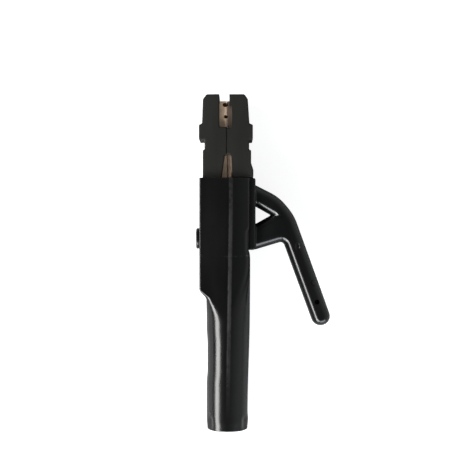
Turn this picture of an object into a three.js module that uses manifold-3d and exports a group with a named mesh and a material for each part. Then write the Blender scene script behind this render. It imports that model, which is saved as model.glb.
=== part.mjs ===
// Tongs-type welding electrode holder, fully insulated, lying on its side.
// Millimetres, +Z up. +Y runs along the grip towards the jaws, +X towards the lever.
// The hinge axis of the jaws is the line X = 0, Y = 0; the side faces of the housing are
// at Z = 0, where the holder rests, and at Z = DEPTH.
import * as THREE from 'three';
import { mergeVertices } from 'three/addons/utils/BufferGeometryUtils.js';
import Module from 'manifold-3d';

const wasm = await Module();
wasm.setup();

// Driving dimensions
const DEPTH = 32;             // housing across its two flat sides
const MID = DEPTH / 2;        // middle plane, shared by every piece
const GAP = 0.3;              // clearance between neighbours
const TIP_Y = 79.5;           // tips of the jaw insulators
const MOUTH_Y = 20.5;         // upper edge of the housing
const GRIP_END_Y = -158.4;    // rear rim, where the cable enters
const CONTACT_X = -7.8;       // line where the jaws meet

// Housing
const HOUSING_LEFT = -27.2;
const HOUSING_RIGHT = 8.1;
const HOUSING_RIGHT_LOW = 5.3;
const HOUSING_CORNER = 2.5;
const WALL = 2.8;
const SIDE_WALL = 2;
const SLOT_END_Y = -34;       // lower end of the lever's slot
const BOX_END_Y = -58;        // lower end of the square hollow
const HOLLOW_RIGHT = 4.6;     // lever side of the square hollow, below the slot
const GRIP_X = -6.8;
const GRIP_R = 15;
const GRIP_BORE_R = 12;
const GRIP_RIM_ROUND = 1.2;

// Jaws
const JAW_TIP_Y = 75;
const JAW_WIDTH = 18;         // along Z at the head
const WAIST_WIDTH = 13;       // along Z at the pivot
const FIXED_JAW_BACK = -19.5;
const MOVING_JAW_BACK = 1.8;
const BAR_BACK = -24;
const BAR_WIDTH = 16;
const BAR_FACE = -12;
const BAR_END_Y = -54;
const JAW_SHOULDER_Y = 24;
const GROOVE_R = 1.9;
const GROOVE_YS = [73.3, 64, 51];

// Pivot
const PIN_R = 3;
const PIN_PLAY = 0.05;        // running clearance on the pin and on the bush
const BUSH_R = 4.2;
const EAR_R = 5.8;
const EAR_CORNER = 5.79;      // a hair under EAR_R, so that the two arcs don't share a point
const EAR_INNER = WAIST_WIDTH / 2 + GAP;
const EAR_OUTER = 10;
const PIN_HALF = 12.4;
const CLIP_AT = 10.4;
const CLIP_THICK = 1;
const CLIP_R = 5;
const CLIP_MOUTH = 3.6;       // opening of the clip's ring
const CLIP_GROOVE_DEPTH = 0.7;

// Spring and its bolt
const SPRING_Y = -22.2;
const SPRING_R = 4.9;
const WIRE_R = 0.7;
const SPRING_TURNS = 6;
const POCKET_R = 6;
const POCKET_FLOOR = -17;
const TAIL_FACE = -1;
const TAIL_END_Y = -29;
const BOLT_R = 2.7;
const BOLT_END = -11;
const BOLT_HEAD_R = 4.8;
const BOLT_HEAD_THICK = 1.3;
const BOLT_SLOT_WIDTH = 1.2;
const BOLT_SLOT_DEPTH = 0.6;
const CAP_R = 7.4;
const CAP_TOP = -30;

// Jaw insulators
const INSULATOR_WIDTH = 25.4;
const COLLAR_TOP = 58;
const COLLAR_BOTTOM = 47.4;
const NECK_BOTTOM = 40.2;
const WINDOW_TOP = 71.3;
const WINDOW_BOTTOM = 56.5;
const FIXED_FOOT_Y = 16;
const MOVING_FOOT_Y = 20.8;
const SCREW_YS = [53, 31];
const SCREW_HEAD_R = 3;
const SCREW_R = 1.8;
const SCREW_SEAT = 2.5;       // under the head, from the back of the jaw
const SCREW_TOP = 4.6;        // outer face of the head
const SCREW_BITE = 6;         // thread's reach into the jaw
const SCREW_SLOT_DEPTH = 0.9;
const SCREW_SLOT_WIDTH = 1;

// Lever
const BASE_FACE = 6.3;        // side of the lever's base that lies on the moving jaw
const BASE_OUT = 12.4;
const BASE_TOP_Y = 20.4;
const BASE_END_Y = -30.4;
const LEVER_WIDTH = 17;
const ROOT_INNER = 4.6;       // the root's two cheeks reach past the housing's edge
const ROOT_GAP = 14;          // between the two cheeks, along Z
const ROOT_TOP_Y = -17.5;
const TONGUE_WIDTH = 6;
const TONGUE_OUT = 10.5;
const LEVER_PIN_R = 1.5;
const LEVER_PIN_X = 8.5;
const LEVER_PIN_YS = [12, -24];
const LEVER_PIN_HALF = 12;

// Cable clamp
const SOCKET_TOP_Y = -40;
const SOCKET_END_Y = -86;
const SOCKET_R = 10.4;
const SOCKET_BORE_R = 8;
const SLEEVE_R = 6.5;
const SLEEVE_WALL = 0.7;
const SLEEVE_X = -5.9;
const CLAMP_SCREW_YS = [-62, -76];
const CLAMP_SCREW_R = 2.9;
const CLAMP_SCREW_TOP = -18;  // outer end, level with the socket's wall
const CLAMP_SCREW_TIP = -14.2;
const CLAMP_HEX_R = 1.5;
const CLAMP_HEX_DEPTH = 1.6;
const CLAMP_PLATE_TOP = -13.9;
const CLAMP_PLATE_THICK = 1.2;
const CLAMP_PLATE_WIDTH = 4.6;

const FINISH = {
  housing: { color: 0x191a19, roughness: 0.4, metalness: 0 },
  insulator: { color: 0x2d2d28, roughness: 0.7, metalness: 0 },
  copper: { color: 0xa87955, roughness: 0.4, metalness: 1 },
  steel: { color: 0x9a9c9e, roughness: 0.35, metalness: 1 },
  darkSteel: { color: 0x3c3d40, roughness: 0.5, metalness: 1 },
};

const holder = new THREE.Group();

// --- Solids from three.js geometries -------------------------------------------------

function solid(geometry) {
  const bare = geometry.index ? geometry.toNonIndexed() : geometry.clone();
  bare.deleteAttribute('normal');
  bare.deleteAttribute('uv');
  const merged = mergeVertices(bare, 1e-4);
  const mesh = new wasm.Mesh({
    numProp: 3,
    vertProperties: new Float32Array(merged.attributes.position.array),
    triVerts: new Uint32Array(merged.index.array),
  });
  return new wasm.Manifold(mesh);
}

function geometryOf(shape) {
  const mesh = shape.getMesh();
  const geometry = new THREE.BufferGeometry();
  geometry.setAttribute('position', new THREE.BufferAttribute(mesh.vertProperties, 3));
  geometry.setIndex(new THREE.BufferAttribute(mesh.triVerts, 1));
  geometry.computeVertexNormals();
  return geometry;
}

function addPiece(name, shape, finish) {
  const material = new THREE.MeshStandardMaterial(FINISH[finish]);
  const mesh = new THREE.Mesh(geometryOf(shape), material);
  mesh.name = name;
  holder.add(mesh);
}

// A block between two corners.
function block(x0, x1, y0, y1, z0, z1) {
  const geometry = new THREE.BoxGeometry(x1 - x0, y1 - y0, z1 - z0);
  geometry.translate((x0 + x1) / 2, (y0 + y1) / 2, (z0 + z1) / 2);
  return solid(geometry);
}

// A block centred on the middle plane.
function midBlock(x0, x1, y0, y1, width) {
  return block(x0, x1, y0, y1, MID - width / 2, MID + width / 2);
}

// A round bar between two values along one axis; at holds the other two coordinates.
function round(axis, radius, from, to, at, sides = 24) {
  const geometry = new THREE.CylinderGeometry(radius, radius, to - from, sides);
  const middle = (from + to) / 2;
  if (axis === 'x') {
    geometry.rotateZ(-Math.PI / 2);
    geometry.translate(middle, at[0], at[1]);
  } else if (axis === 'y') {
    geometry.translate(at[0], middle, at[1]);
  } else {
    geometry.rotateX(Math.PI / 2);
    geometry.translate(at[0], at[1], middle);
  }
  return solid(geometry);
}

// A turned piece: profile points are [radius, distance along the axis].
function turned(axis, profile, at, sides = 24) {
  const points = profile.map(([radius, along]) => new THREE.Vector2(radius, along));
  const geometry = new THREE.LatheGeometry(points, sides);
  if (axis === 'x') {
    geometry.rotateZ(-Math.PI / 2);
    geometry.translate(0, at[0], at[1]);
  } else if (axis === 'y') {
    geometry.translate(at[0], 0, at[1]);
  } else {
    geometry.rotateX(Math.PI / 2);
    geometry.translate(at[0], at[1], 0);
  }
  return solid(geometry);
}

// A closed outline whose corners are [x, y, radius]; a corner with a radius becomes an arc.
function outline(corners, steps = 5) {
  const points = [];
  corners.forEach(([x, y, radius = 0], i) => {
    const corner = new THREE.Vector2(x, y);
    if (radius === 0) {
      points.push(corner);
      return;
    }
    const before = corners[(i + corners.length - 1) % corners.length];
    const after = corners[(i + 1) % corners.length];
    const back = new THREE.Vector2(before[0] - x, before[1] - y).normalize();
    const ahead = new THREE.Vector2(after[0] - x, after[1] - y).normalize();
    const half = Math.acos(THREE.MathUtils.clamp(back.dot(ahead), -1, 1)) / 2;
    const start = corner.clone().addScaledVector(back, radius / Math.tan(half));
    const inwards = back.clone().add(ahead).normalize();
    const centre = corner.clone().addScaledVector(inwards, radius / Math.sin(half));
    const sweep = Math.PI - 2 * half;
    const turn = Math.sign(back.x * ahead.y - back.y * ahead.x);
    for (let k = 0; k <= steps; k += 1) {
      points.push(start.clone().rotateAround(centre, -turn * sweep * k / steps));
    }
  });
  return points;
}

// An outline in the XY plane, given a thickness centred on the middle plane.
function plate(points, width) {
  const geometry = new THREE.ExtrudeGeometry(new THREE.Shape(points), { depth: width, bevelEnabled: false });
  geometry.translate(0, 0, MID - width / 2);
  return solid(geometry);
}

// An outline in the XZ plane, extruded from y0 up to y1.
function column(points, y0, y1) {
  const shape = new THREE.Shape(points.map((p) => new THREE.Vector2(p.x, -p.y)));
  const geometry = new THREE.ExtrudeGeometry(shape, { depth: y1 - y0, bevelEnabled: false });
  geometry.rotateX(-Math.PI / 2);
  geometry.translate(0, y0, 0);
  return solid(geometry);
}

// --- Housing: square part, round grip, slot for the lever ----------------------------

function housing() {
  const side = plate(outline([
    [HOUSING_LEFT, MOUTH_Y],
    [HOUSING_LEFT, -60.5, 5],
    [-18.5, -66.5, 9],
    [-12.5, -84],
    [-2, -84],
    [HOUSING_RIGHT_LOW, -60],
    [HOUSING_RIGHT_LOW, -19, 2],
    [HOUSING_RIGHT, -15, 2],
    [HOUSING_RIGHT, MOUTH_Y],
  ]), DEPTH);
  const section = column(outline([
    [HOUSING_LEFT, 0, HOUSING_CORNER],
    [HOUSING_RIGHT, 0, HOUSING_CORNER],
    [HOUSING_RIGHT, DEPTH, HOUSING_CORNER],
    [HOUSING_LEFT, DEPTH, HOUSING_CORNER],
  ]), -90, MOUTH_Y + 1);
  const grip = turned('y', [
    [0, GRIP_END_Y],
    [GRIP_R - GRIP_RIM_ROUND, GRIP_END_Y],
    [GRIP_R, GRIP_END_Y + GRIP_RIM_ROUND],
    [GRIP_R, SLOT_END_Y],
    [0, SLOT_END_Y],
  ], [GRIP_X, MID], 40);
  const above = MOUTH_Y + 1;
  const inside = DEPTH / 2 - WALL;
  const slot = midBlock(HOUSING_LEFT + SIDE_WALL, GRIP_X + GRIP_R + 1, SLOT_END_Y, above, 2 * inside);
  const hollow = midBlock(HOUSING_LEFT + SIDE_WALL, HOLLOW_RIGHT, BOX_END_Y, SLOT_END_Y + 1, 2 * inside);
  const bore = round('y', GRIP_BORE_R, GRIP_END_Y - 1, BOX_END_Y + 1, [GRIP_X, MID], 32);
  const boltHole = round('x', BOLT_R + GAP, HOUSING_LEFT - 1, HOUSING_LEFT + SIDE_WALL + 1, [SPRING_Y, MID]);
  return side.intersect(section).add(grip).subtract(slot).subtract(hollow).subtract(bore).subtract(boltHole);
}

// --- Jaws -----------------------------------------------------------------------------

// Grooves across the contact face, and one along it, that seat the electrode.
function electrodeGrooves() {
  const across = GROOVE_YS.map((y) => round('z', GROOVE_R, 0, DEPTH, [CONTACT_X, y], 12));
  const along = round('y', GROOVE_R, WINDOW_BOTTOM, JAW_TIP_Y + 1, [CONTACT_X, MID], 12);
  return across.reduce((all, groove) => all.add(groove), along);
}

// The two tapped holes that hold an insulator on the back of its jaw.
function screwHoles(x0, x1, radius) {
  const holes = SCREW_YS.map((y) => round('x', radius, x0, x1, [y, MID], 16));
  return holes[0].add(holes[1]);
}

function fixedJaw() {
  const face = CONTACT_X - GAP / 2;
  const head = plate([
    [FIXED_JAW_BACK, JAW_SHOULDER_Y],
    [face, JAW_SHOULDER_Y],
    [face, JAW_TIP_Y - 1],
    [face - 1, JAW_TIP_Y],
    [FIXED_JAW_BACK + 3, JAW_TIP_Y],
    [FIXED_JAW_BACK, JAW_TIP_Y - 8],
  ].map(([x, y]) => new THREE.Vector2(x, y)), JAW_WIDTH);
  const bar = plate([
    [FIXED_JAW_BACK, JAW_SHOULDER_Y + 1],
    [FIXED_JAW_BACK, 12],
    [BAR_BACK, 4],
    [BAR_BACK, BAR_END_Y],
    [BAR_FACE, BAR_END_Y],
    [BAR_FACE, -12],
    [-9, -4],
    [-9, JAW_SHOULDER_Y + 1],
  ].map(([x, y]) => new THREE.Vector2(x, y)), BAR_WIDTH);
  const earShape = outline([
    [-16, -EAR_R],
    [EAR_R, -EAR_R, EAR_CORNER],
    [EAR_R, EAR_R, EAR_CORNER],
    [-16, EAR_R],
  ], 7);
  const fork = midBlock(-8.9, EAR_R + 1, -EAR_R - 1, EAR_R + 1, 2 * EAR_INNER);
  const ears = plate(earShape, 2 * EAR_OUTER).subtract(fork);
  const neck = midBlock(BAR_FACE - 4, GRIP_X, SOCKET_TOP_Y - 12, SOCKET_TOP_Y, BAR_WIDTH);
  const socket = round('y', SOCKET_R, SOCKET_END_Y, SOCKET_TOP_Y, [GRIP_X, MID], 32);
  const cableBore = round('y', SOCKET_BORE_R, SOCKET_END_Y - 1, SOCKET_TOP_Y - 8, [GRIP_X, MID], 28);
  const pocket = round('x', POCKET_R, POCKET_FLOOR, BAR_FACE + 1, [SPRING_Y, MID]);
  const boltHole = round('x', BOLT_R + GAP, BAR_BACK - 1, POCKET_FLOOR + 1, [SPRING_Y, MID]);
  const pinHole = round('z', PIN_R + PIN_PLAY, 0, DEPTH, [0, 0]);
  const clampHoles = CLAMP_SCREW_YS.map((y) => round('x', CLAMP_SCREW_R + GAP, -19, GRIP_X, [y, MID], 16));
  return head.add(bar).add(ears).add(neck).add(socket)
    .subtract(cableBore).subtract(pocket).subtract(boltHole).subtract(pinHole)
    .subtract(clampHoles[0]).subtract(clampHoles[1])
    .subtract(screwHoles(FIXED_JAW_BACK - 1, FIXED_JAW_BACK + 7.4, SCREW_R + GAP))
    .subtract(electrodeGrooves());
}

function movingJaw() {
  const face = CONTACT_X + GAP / 2;
  const head = plate([
    [face, JAW_SHOULDER_Y],
    [MOVING_JAW_BACK, JAW_SHOULDER_Y],
    [MOVING_JAW_BACK, JAW_TIP_Y - 8],
    [MOVING_JAW_BACK - 3, JAW_TIP_Y],
    [face + 1, JAW_TIP_Y],
    [face, JAW_TIP_Y - 1],
  ].map(([x, y]) => new THREE.Vector2(x, y)), JAW_WIDTH);
  const beam = plate([
    [face, JAW_SHOULDER_Y + 1],
    [face, -3],
    [TAIL_FACE, -11],
    [TAIL_FACE, TAIL_END_Y],
    [BASE_FACE - GAP, TAIL_END_Y],
    [BASE_FACE - GAP, 17],
    [MOVING_JAW_BACK, 22],
    [MOVING_JAW_BACK, JAW_SHOULDER_Y + 1],
  ].map(([x, y]) => new THREE.Vector2(x, y)), WAIST_WIDTH);
  const tongue = midBlock(0, TONGUE_OUT, -26.5, 15.5, TONGUE_WIDTH);
  const bushHole = round('z', BUSH_R + PIN_PLAY, 0, DEPTH, [0, 0]);
  const pinHoles = LEVER_PIN_YS.map((y) => round('z', LEVER_PIN_R + GAP, 0, DEPTH, [LEVER_PIN_X, y], 12));
  return head.add(beam).add(tongue).subtract(bushHole).subtract(pinHoles[0]).subtract(pinHoles[1])
    .subtract(screwHoles(MOVING_JAW_BACK - 6.4, MOVING_JAW_BACK + 1, SCREW_R + GAP))
    .subtract(electrodeGrooves());
}

// --- Jaw insulators -------------------------------------------------------------------

function fixedInsulator() {
  const shell = plate(outline([
    [-13.1, TIP_Y],
    [-22.2, TIP_Y, 1.5],
    [-24.8, 76, 1.5],
    [-25.4, COLLAR_TOP + 0.8],
    [-27.6, COLLAR_TOP],
    [-27.6, COLLAR_BOTTOM],
    [-23.6, COLLAR_BOTTOM],
    [-23.6, NECK_BOTTOM],
    [-24.9, NECK_BOTTOM],
    [-24.9, FIXED_FOOT_Y],
    [-12, FIXED_FOOT_Y],
    [-9.5, 36],
    [CONTACT_X - GAP, 38],
    [CONTACT_X - GAP, WINDOW_BOTTOM],
    [-13.1, WINDOW_BOTTOM],
  ], 3), INSULATOR_WIDTH);
  const cavity = midBlock(FIXED_JAW_BACK - GAP, 0, 0, JAW_TIP_Y + GAP, JAW_WIDTH + 2 * GAP);
  const heads = screwHoles(-30, FIXED_JAW_BACK - 2.2, SCREW_HEAD_R + GAP);
  const shanks = screwHoles(-26, FIXED_JAW_BACK + 1, SCREW_R + GAP);
  return shell.subtract(cavity).subtract(heads).subtract(shanks);
}

function movingInsulator() {
  const shell = plate(outline([
    [-6, TIP_Y],
    [-6, WINDOW_TOP],
    [-4.2, WINDOW_TOP],
    [-4.2, WINDOW_BOTTOM],
    [CONTACT_X + GAP, WINDOW_BOTTOM],
    [CONTACT_X + GAP, 38],
    [-4.6, 36],
    [-3.5, MOVING_FOOT_Y],
    [10.9, MOVING_FOOT_Y],
    [10.9, 26],
    [9.3, 31],
    [9.3, NECK_BOTTOM],
    [7.9, NECK_BOTTOM],
    [7.9, COLLAR_BOTTOM],
    [10.5, COLLAR_BOTTOM],
    [10.5, COLLAR_TOP],
    [8.1, COLLAR_TOP + 0.8],
    [7, 76, 1.5],
    [4.6, TIP_Y, 1.5],
  ], 3), INSULATOR_WIDTH);
  const cavityWidth = JAW_WIDTH + 2 * GAP;
  const cavity = midBlock(-12, MOVING_JAW_BACK + GAP, JAW_SHOULDER_Y - GAP, JAW_TIP_Y + GAP, cavityWidth);
  const throat = midBlock(-12, BASE_FACE, 0, JAW_SHOULDER_Y + 1, WAIST_WIDTH + 2 * GAP);
  const heads = screwHoles(MOVING_JAW_BACK + 2.2, 14, SCREW_HEAD_R + GAP);
  const shanks = screwHoles(MOVING_JAW_BACK - 1, 8, SCREW_R + GAP);
  return shell.subtract(cavity).subtract(throat).subtract(heads).subtract(shanks);
}

// A cheese-head screw with a slot; away is the direction its head faces along X.
function insulatorScrew(jawBack, away, y) {
  const at = (distance) => jawBack + away * distance;
  const span = (a, b, radius) => round('x', radius, Math.min(a, b), Math.max(a, b), [y, MID], 16);
  const head = span(at(SCREW_SEAT), at(SCREW_TOP), SCREW_HEAD_R);
  const shank = span(at(-SCREW_BITE), at(SCREW_TOP - 1), SCREW_R);
  const slotEnds = [at(SCREW_TOP - SCREW_SLOT_DEPTH), at(SCREW_TOP + 1)].sort((a, b) => a - b);
  const halfSlot = SCREW_SLOT_WIDTH / 2;
  return head.add(shank).subtract(block(...slotEnds, y - halfSlot, y + halfSlot, 0, DEPTH));
}

// --- Lever ------------------------------------------------------------------------------

function lever() {
  const base = plate(outline([
    [BASE_FACE, BASE_TOP_Y],
    [BASE_FACE, BASE_END_Y],
    [BASE_OUT, BASE_END_Y, 1.5],
    [BASE_OUT, BASE_TOP_Y],
  ], 3), INSULATOR_WIDTH);
  const arms = plate(outline([
    [8, 15.8],
    [12.6, 15.8, 4],
    [29.5, 7.4, 14],
    [40.2, -5.5, 10],
    [67.4, -80.7, 6.4],
    [54.7, -85.3, 6.4],
    [32.4, -24.2, 3],
    [12.4, -30, 2],
    [8, -30],
  ], 6), LEVER_WIDTH);
  const window = plate(outline([
    [12.4, 0.6, 1.2],
    [23.6, -5.6, 1.5],
    [12.4, -11.8, 1.2],
  ], 3), DEPTH);
  const root = midBlock(ROOT_INNER, BASE_FACE + 1, BASE_END_Y, ROOT_TOP_Y, INSULATOR_WIDTH)
    .subtract(midBlock(0, BASE_FACE, BASE_END_Y - 1, ROOT_TOP_Y + 1, ROOT_GAP));
  const pocket = midBlock(5, TONGUE_OUT + GAP, -26.8, 15.8, TONGUE_WIDTH + 2 * GAP);
  const pinHoles = LEVER_PIN_YS.map((y) => round('z', LEVER_PIN_R + GAP, 0, DEPTH, [LEVER_PIN_X, y], 12));
  return base.add(arms).add(root).subtract(window).subtract(pocket)
    .subtract(pinHoles[0]).subtract(pinHoles[1]);
}

// --- Pivot, spring and bolt --------------------------------------------------------------

function pivotPin() {
  const grooveEnd = CLIP_AT + CLIP_THICK + GAP;
  const halfProfile = [
    [PIN_R, CLIP_AT],
    [PIN_R - CLIP_GROOVE_DEPTH, CLIP_AT],
    [PIN_R - CLIP_GROOVE_DEPTH, grooveEnd],
    [PIN_R, grooveEnd],
    [PIN_R, PIN_HALF - 0.4],
    [PIN_R - 0.4, PIN_HALF],
    [0, PIN_HALF],
  ];
  const lower = halfProfile.map(([radius, along]) => [radius, -along]).reverse();
  return turned('z', lower.concat(halfProfile), [0, 0]).translate([0, 0, MID]);
}

// An open ring that snaps into the pin's groove; side is +1 for the upper end, -1 for the lower.
function pivotClip(side) {
  const middle = MID + side * (CLIP_AT + (CLIP_THICK + GAP) / 2);
  const ring = round('z', CLIP_R, middle - CLIP_THICK / 2, middle + CLIP_THICK / 2, [0, 0]);
  const bore = round('z', PIN_R - CLIP_GROOVE_DEPTH + GAP, 0, DEPTH, [0, 0], 16);
  return ring.subtract(bore).subtract(block(-CLIP_MOUTH / 2, CLIP_MOUTH / 2, 0, CLIP_R + 1, 0, DEPTH));
}

function pivotBush() {
  const half = WAIST_WIDTH / 2;
  return round('z', BUSH_R, MID - half, MID + half, [0, 0])
    .subtract(round('z', PIN_R + PIN_PLAY, 0, DEPTH, [0, 0]));
}

// A helix along X between the pocket's floor and the tail of the moving jaw.
class SpringPath extends THREE.Curve {
  constructor(start, end) {
    super();
    this.start = start;
    this.end = end;
  }

  getPoint(t, target = new THREE.Vector3()) {
    const angle = 2 * Math.PI * SPRING_TURNS * t;
    const radius = SPRING_R - WIRE_R;
    const x = this.start + (this.end - this.start) * t;
    return target.set(x, SPRING_Y + radius * Math.cos(angle), MID + radius * Math.sin(angle));
  }
}

function pressureSpring() {
  const start = POCKET_FLOOR + WIRE_R + GAP;
  const end = TAIL_FACE - WIRE_R - GAP;
  const wire = new THREE.Shape();
  wire.absarc(0, 0, WIRE_R, 0, 2 * Math.PI, false);
  const geometry = new THREE.ExtrudeGeometry(wire, {
    steps: SPRING_TURNS * 12,
    curveSegments: 3,
    bevelEnabled: false,
    extrudePath: new SpringPath(start, end),
  });
  return solid(geometry);
}

function springBolt() {
  const headBottom = HOUSING_LEFT - GAP;
  const headTop = headBottom - BOLT_HEAD_THICK;
  const head = round('x', BOLT_HEAD_R, headTop, headBottom, [SPRING_Y, MID]);
  const shank = round('x', BOLT_R, headBottom - 0.5, BOLT_END, [SPRING_Y, MID], 20);
  const halfSlot = BOLT_SLOT_WIDTH / 2;
  const slotBottom = headTop + BOLT_SLOT_DEPTH;
  const slot = block(headTop - 1, slotBottom, SPRING_Y - halfSlot, SPRING_Y + halfSlot, 0, DEPTH);
  return head.add(shank).subtract(slot);
}

// Cap over the bolt's head: a shallow cup, open towards the housing.
function boltCap() {
  const dome = turned('x', [
    [0, CAP_TOP],
    [CAP_R - 1.6, CAP_TOP],
    [CAP_R - 0.4, CAP_TOP + 0.7],
    [CAP_R, CAP_TOP + 1.7],
    [CAP_R, HOUSING_LEFT - GAP],
    [0, HOUSING_LEFT - GAP],
  ], [SPRING_Y, MID], 28);
  const cup = round('x', BOLT_HEAD_R + GAP, HOUSING_LEFT - 1.9, HOUSING_LEFT, [SPRING_Y, MID]);
  return dome.subtract(cup);
}

// --- Cable clamp in the grip -----------------------------------------------------------------

function cableSleeve() {
  const top = SOCKET_TOP_Y - 10;
  const bottom = SOCKET_END_Y + 2;
  return round('y', SLEEVE_R, bottom, top, [SLEEVE_X, MID], 28)
    .subtract(round('y', SLEEVE_R - SLEEVE_WALL, bottom - 1, top + 1, [SLEEVE_X, MID], 28));
}

function clampPlate() {
  const bottom = SOCKET_END_Y + 3;
  const top = SOCKET_TOP_Y - 14;
  return midBlock(CLAMP_PLATE_TOP, CLAMP_PLATE_TOP + CLAMP_PLATE_THICK, bottom, top, CLAMP_PLATE_WIDTH);
}

function clampScrew(y) {
  const hex = round('x', CLAMP_HEX_R, CLAMP_SCREW_TOP - 1, CLAMP_SCREW_TOP + CLAMP_HEX_DEPTH, [y, MID], 6);
  return round('x', CLAMP_SCREW_R, CLAMP_SCREW_TOP, CLAMP_SCREW_TIP, [y, MID], 16).subtract(hex);
}

// --- The assembly ---------------------------------------------------------------------------

addPiece('housing', housing(), 'housing');
addPiece('fixed_jaw', fixedJaw(), 'copper');
addPiece('moving_jaw', movingJaw(), 'copper');
addPiece('fixed_jaw_insulator', fixedInsulator(), 'insulator');
addPiece('moving_jaw_insulator', movingInsulator(), 'insulator');
SCREW_YS.forEach((y, i) => {
  const place = ['upper', 'lower'][i];
  addPiece(`fixed_insulator_screw_${place}`, insulatorScrew(FIXED_JAW_BACK, -1, y), 'darkSteel');
  addPiece(`moving_insulator_screw_${place}`, insulatorScrew(MOVING_JAW_BACK, 1, y), 'darkSteel');
});
addPiece('lever', lever(), 'housing');
LEVER_PIN_YS.forEach((y, i) => {
  const pin = round('z', LEVER_PIN_R, MID - LEVER_PIN_HALF, MID + LEVER_PIN_HALF, [LEVER_PIN_X, y], 12);
  addPiece(`lever_pin_${['upper', 'lower'][i]}`, pin, 'steel');
});
addPiece('pivot_pin', pivotPin(), 'steel');
addPiece('pivot_bush', pivotBush(), 'steel');
addPiece('pivot_clip_front', pivotClip(1), 'darkSteel');
addPiece('pivot_clip_back', pivotClip(-1), 'darkSteel');
addPiece('pressure_spring', pressureSpring(), 'steel');
addPiece('spring_bolt', springBolt(), 'steel');
addPiece('bolt_cap', boltCap(), 'housing');
addPiece('cable_sleeve', cableSleeve(), 'copper');
addPiece('clamp_plate', clampPlate(), 'steel');
CLAMP_SCREW_YS.forEach((y, i) => {
  addPiece(`clamp_screw_${['upper', 'lower'][i]}`, clampScrew(y), 'darkSteel');
});

export default holder;
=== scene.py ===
import math

import bmesh
import bpy
from mathutils import Matrix, Vector


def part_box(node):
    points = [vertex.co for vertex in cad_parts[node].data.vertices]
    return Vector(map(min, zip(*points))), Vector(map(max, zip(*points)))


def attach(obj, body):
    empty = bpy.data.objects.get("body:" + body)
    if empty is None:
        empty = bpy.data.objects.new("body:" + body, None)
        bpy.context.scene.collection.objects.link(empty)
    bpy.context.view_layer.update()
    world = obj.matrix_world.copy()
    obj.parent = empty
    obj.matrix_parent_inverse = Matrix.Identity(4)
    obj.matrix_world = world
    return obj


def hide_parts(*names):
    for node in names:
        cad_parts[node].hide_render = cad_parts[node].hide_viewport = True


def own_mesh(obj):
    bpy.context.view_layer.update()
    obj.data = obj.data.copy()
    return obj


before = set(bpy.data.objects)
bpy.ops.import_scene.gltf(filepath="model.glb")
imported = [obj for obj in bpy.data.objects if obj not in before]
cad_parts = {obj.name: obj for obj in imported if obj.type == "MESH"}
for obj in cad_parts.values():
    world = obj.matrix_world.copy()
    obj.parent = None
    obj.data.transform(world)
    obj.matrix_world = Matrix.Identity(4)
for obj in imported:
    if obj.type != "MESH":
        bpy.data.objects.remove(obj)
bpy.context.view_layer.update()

# Tongs-type electrode holder, laid on its side. Lengths in the tables and calls below are
# millimetres; MM turns them into metres when a mesh is made. The jaws hinge about the line
# X = 0, Y = 0; Z = MID is the middle plane of every piece. The grip runs down -Y, and the
# lever is on the +X side.
MM = 0.001


def cad(name):
    """Lowest and highest corner of a CAD node, in millimetres."""
    low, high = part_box(name)
    return Vector(low) / MM, Vector(high) / MM


HOUSING_LOW, HOUSING_HIGH = cad("housing")
LEFT_X = HOUSING_LOW.x
RIGHT_X = 8.1                # the square part's lever side
MOUTH_Y = HOUSING_HIGH.y     # the square part's open end, where the jaws come out
GRIP_END_Y = HOUSING_LOW.y
GRIP_R = 15.0
GRIP_X = HOUSING_HIGH.x - GRIP_R
DEPTH = HOUSING_HIGH.z - HOUSING_LOW.z
MID = (HOUSING_HIGH.z + HOUSING_LOW.z) / 2

CONTACT_X = -7.8             # where the closed jaws meet
CONTACT_GAP = 0.03           # what each jaw keeps from it
SEAM_X = CONTACT_X - 0.05    # the two insulators all but touch along this line
JAW_BACK = -19.5
JAW_TIP_Y = cad("fixed_jaw")[1].y
JAW_WIDTH = 18.0

INSULATOR_WIDTH = 25.4
CAVITY_GAP = 0.3             # between an insulator's cavity and the jaw in it
TIP_Y = cad("fixed_jaw_insulator")[1].y
COLLAR_TOP = 58.0
WINDOW_END = 56.5            # above it the insulators leave the copper bare
COLLAR_END = 47.4
WAIST_END = 40.2
SEAM_END = 37.4              # below it the copper shows again

BASE_FACE = 6.3              # the lever's base plate, on the side of the jaw
FOOT_X = BASE_FACE + 0.1     # the lever's arms start just inside that plate
PLATE_X = 12.4               # the plate's outer face
ARM_ROUND = 5.4              # how far the rounding reaches into the lever's arms
SPRING_Y = -22.2
SCREW_YS = (53.0, 31.0)
SCREW_HOLE_R = 2.1
SCREW_HEAD_HOLE_R = 3.3
BOLT_HOLE_R = 3.0
CREASE = 32                  # degrees: softer edges than this are smooth on a melted casting


# --- Small helpers ---------------------------------------------------------------------------


def smooth(value, start, end):
    """0 before start, 1 after end, with a soft turn at both; start may be above end."""
    t = min(max((value - start) / (end - start), 0.0), 1.0)
    return t * t * (3 - 2 * t)


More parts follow.
